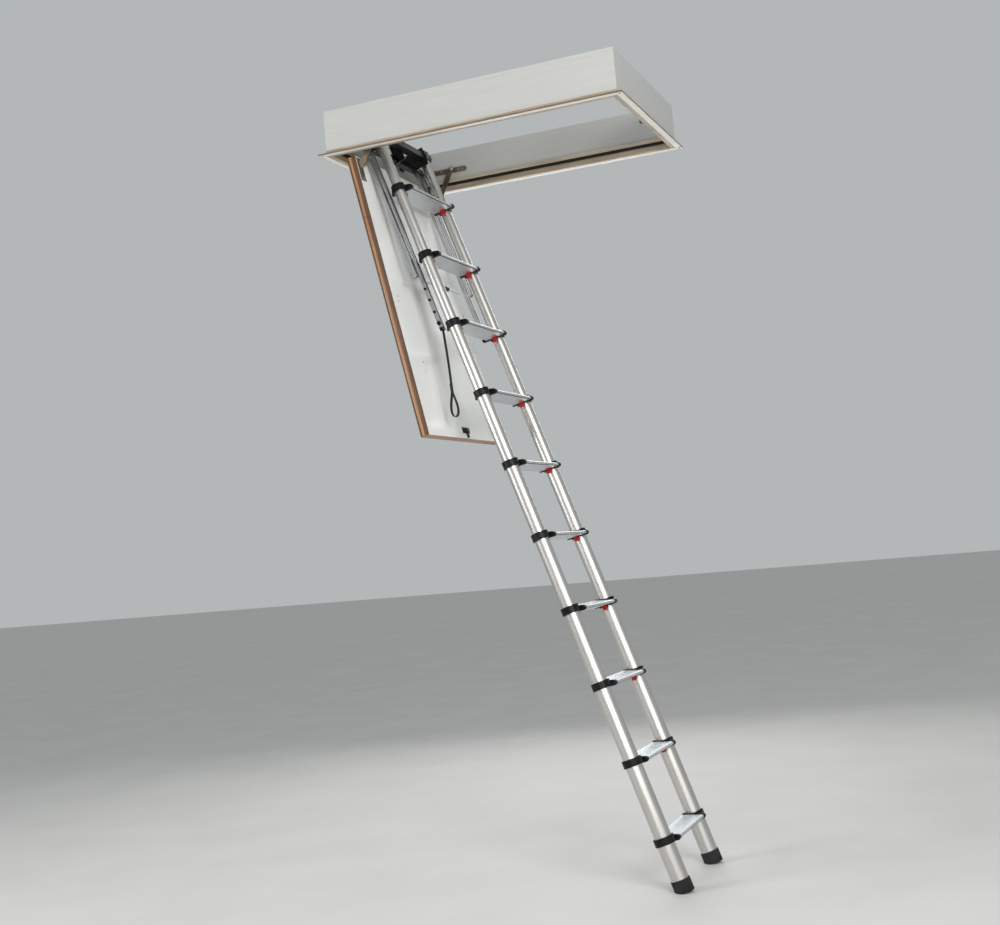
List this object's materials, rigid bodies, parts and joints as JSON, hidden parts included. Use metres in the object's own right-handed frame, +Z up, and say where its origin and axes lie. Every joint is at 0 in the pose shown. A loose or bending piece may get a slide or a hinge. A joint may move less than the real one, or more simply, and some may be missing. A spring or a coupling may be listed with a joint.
{
  "type": "telescoping loft ladder",
  "caption": "Telescoping aluminium loft ladder hung in its ceiling hatch, with sliding sections, levelled treads, release buttons, a drop-down door and a wooden casing.",
  "frame": {"origin": "centre of the casing's opening in the ceiling plane, which is the upper face of the ceiling flange", "axes": "+Z up, +X from the hinge end of the casing to its latch end, +Y along the treads; the floor is 2.786 m below the origin"},
  "size_m": [1.2, 0.836, 2.9525],
  "materials": {
    "casing_board": "satin laminate",
    "ceiling_trim": "satin cream",
    "batten": "satin",
    "seal": "matte",
    "hinge_steel": "zinc plated",
    "black_steel": "satin black",
    "door_white": "gloss laminate",
    "door_outside": "satin white",
    "door_pine": "clear lacquer",
    "door_core_strips": "raw fibreboard strips",
    "tube_aluminium": "anodised satin",
    "tread_aluminium": "anodised satin, ribbed on top",
    "rail_aluminium": "mill finish",
    "collar_black": "fine texture",
    "button_red": "semi-gloss",
    "foot_rubber": "matte",
    "strap_webbing": "woven webbing"
  },
  "bodies": {
    "casing": {"casing_side_boards": "casing_board", "casing_end_boards": "casing_board", "ceiling_flange": "ceiling_trim", "stop_battens": "batten", "hatch_seal": "seal", "hinge_bars": "hinge_steel", "pivot_brackets": "black_steel"},
    "hinge_link": {"hinge_links": "hinge_steel"},
    "door": {"door_inner_panel": "door_white", "door_outer_panel": "door_outside", "door_core": "door_core_strips", "door_frame": "door_pine", "door_hinge_plates": "hinge_steel"},
    "head": {"swing_frame": "black_steel", "stiles_11": "tube_aluminium", "guide_rails": "rail_aluminium", "outer_rails": "rail_aluminium", "tie_rod": "hinge_steel", "rail_fittings": "collar_black"},
    "strap": {"pull_strap": "strap_webbing"},
    "section_10": {"stiles_10": "tube_aluminium", "rung_10": "tread_aluminium", "collars_10": "collar_black"},
    "section_9": {"stiles_9": "tube_aluminium", "rung_9": "tread_aluminium", "collars_9": "collar_black"},
    "section_8": {"stiles_8": "tube_aluminium", "rung_8": "tread_aluminium", "collars_8": "collar_black"},
    "section_7": {"stiles_7": "tube_aluminium", "rung_7": "tread_aluminium", "collars_7": "collar_black"},
    "section_6": {"stiles_6": "tube_aluminium", "rung_6": "tread_aluminium", "collars_6": "collar_black"},
    "section_5": {"stiles_5": "tube_aluminium", "rung_5": "tread_aluminium", "collars_5": "collar_black"},
    "section_4": {"stiles_4": "tube_aluminium", "rung_4": "tread_aluminium", "collars_4": "collar_black"},
    "section_3": {"stiles_3": "tube_aluminium", "rung_3": "tread_aluminium", "collars_3": "collar_black"},
    "section_2": {"stiles_2": "tube_aluminium", "rung_2": "tread_aluminium", "collars_2": "collar_black"},
    "section_1": {"stiles_1": "tube_aluminium", "rung_1": "tread_aluminium", "collars_1": "collar_black", "feet": "foot_rubber"},
    "release_10": {"release_buttons_10": "button_red"},
    "release_9": {"release_buttons_9": "button_red"},
    "release_8": {"release_buttons_8": "button_red"},
    "release_7": {"release_buttons_7": "button_red"},
    "release_6": {"release_buttons_6": "button_red"},
    "release_5": {"release_buttons_5": "button_red"},
    "release_4": {"release_buttons_4": "button_red"},
    "release_3": {"release_buttons_3": "button_red"},
    "release_2": {"release_buttons_2": "button_red"}
  },
  "joints": [
    {"name": "ladder_swing", "type": "hinge", "parent": "casing", "child": "head", "pos_m": [-0.4485, 0, 0.105], "axis": [0, -1, 0], "range_deg": [0, 62]},
    {"name": "link_swing", "type": "hinge", "parent": "casing", "child": "hinge_link", "pos_m": [-0.3845, 0, 0.078], "axis": [0, 1, 0], "range_deg": [0, 40]},
    {"name": "door_swing", "type": "hinge", "parent": "hinge_link", "child": "door", "pos_m": [-0.44794, 0, -0.04307], "axis": [0, -1, 0], "range_deg": [0, 110]},
    {"name": "strap_swing", "type": "hinge", "parent": "head", "child": "strap", "pos_m": [-0.24021, -0.209, -0.69803], "axis": [0, -1, 0], "range_deg": [0, 14.1]},
    {"name": "section_slide_10", "type": "slide", "parent": "head", "child": "section_10", "axis": [-0.3107, 0, 0.9505], "range_m": [0, 0.17]},
    {"name": "section_slide_9", "type": "slide", "parent": "section_10", "child": "section_9", "axis": [-0.3107, 0, 0.9505], "range_m": [0, 0.225]},
    {"name": "section_slide_8", "type": "slide", "parent": "section_9", "child": "section_8", "axis": [-0.3107, 0, 0.9505], "range_m": [0, 0.225]},
    {"name": "section_slide_7", "type": "slide", "parent": "section_8", "child": "section_7", "axis": [-0.3107, 0, 0.9505], "range_m": [0, 0.225]},
    {"name": "section_slide_6", "type": "slide", "parent": "section_7", "child": "section_6", "axis": [-0.3107, 0, 0.9505], "range_m": [0, 0.225]},
    {"name": "section_slide_5", "type": "slide", "parent": "section_6", "child": "section_5", "axis": [-0.3107, 0, 0.9505], "range_m": [0, 0.225]},
    {"name": "section_slide_4", "type": "slide", "parent": "section_5", "child": "section_4", "axis": [-0.3107, 0, 0.9505], "range_m": [0, 0.225]},
    {"name": "section_slide_3", "type": "slide", "parent": "section_4", "child": "section_3", "axis": [-0.3107, 0, 0.9505], "range_m": [0, 0.225]},
    {"name": "section_slide_2", "type": "slide", "parent": "section_3", "child": "section_2", "axis": [-0.3107, 0, 0.9505], "range_m": [0, 0.225]},
    {"name": "section_slide_1", "type": "slide", "parent": "section_2", "child": "section_1", "axis": [-0.3107, 0, 0.9505], "range_m": [0, 0.12]},
    {"name": "release_press_10", "type": "slide", "parent": "section_10", "child": "release_10", "axis": [-0.9774, 0, -0.2113], "range_m": [0, 0.004], "stiffness_N_per_m": 250, "springref_m": -0.003},
    {"name": "release_press_9", "type": "slide", "parent": "section_9", "child": "release_9", "axis": [-0.9774, 0, -0.2113], "range_m": [0, 0.004], "stiffness_N_per_m": 250, "springref_m": -0.003},
    {"name": "release_press_8", "type": "slide", "parent": "section_8", "child": "release_8", "axis": [-0.9774, 0, -0.2113], "range_m": [0, 0.004], "stiffness_N_per_m": 250, "springref_m": -0.003},
    {"name": "release_press_7", "type": "slide", "parent": "section_7", "child": "release_7", "axis": [-0.9774, 0, -0.2113], "range_m": [0, 0.004], "stiffness_N_per_m": 250, "springref_m": -0.003},
    {"name": "release_press_6", "type": "slide", "parent": "section_6", "child": "release_6", "axis": [-0.9774, 0, -0.2113], "range_m": [0, 0.004], "stiffness_N_per_m": 250, "springref_m": -0.003},
    {"name": "release_press_5", "type": "slide", "parent": "section_5", "child": "release_5", "axis": [-0.9774, 0, -0.2113], "range_m": [0, 0.004], "stiffness_N_per_m": 250, "springref_m": -0.003},
    {"name": "release_press_4", "type": "slide", "parent": "section_4", "child": "release_4", "axis": [-0.9774, 0, -0.2113], "range_m": [0, 0.004], "stiffness_N_per_m": 250, "springref_m": -0.003},
    {"name": "release_press_3", "type": "slide", "parent": "section_3", "child": "release_3", "axis": [-0.9774, 0, -0.2113], "range_m": [0, 0.004], "stiffness_N_per_m": 250, "springref_m": -0.003},
    {"name": "release_press_2", "type": "slide", "parent": "section_2", "child": "release_2", "axis": [-0.9774, 0, -0.2113], "range_m": [0, 0.004], "stiffness_N_per_m": 250, "springref_m": -0.003}
  ],
  "couplings": [
    {"joint": "link_swing", "follows": "ladder_swing", "ratio": 0.64258},
    {"joint": "door_swing", "follows": "ladder_swing", "ratio": 1.7716},
    {"joint": "strap_swing", "follows": "ladder_swing", "ratio": 0.2274}
  ]
}
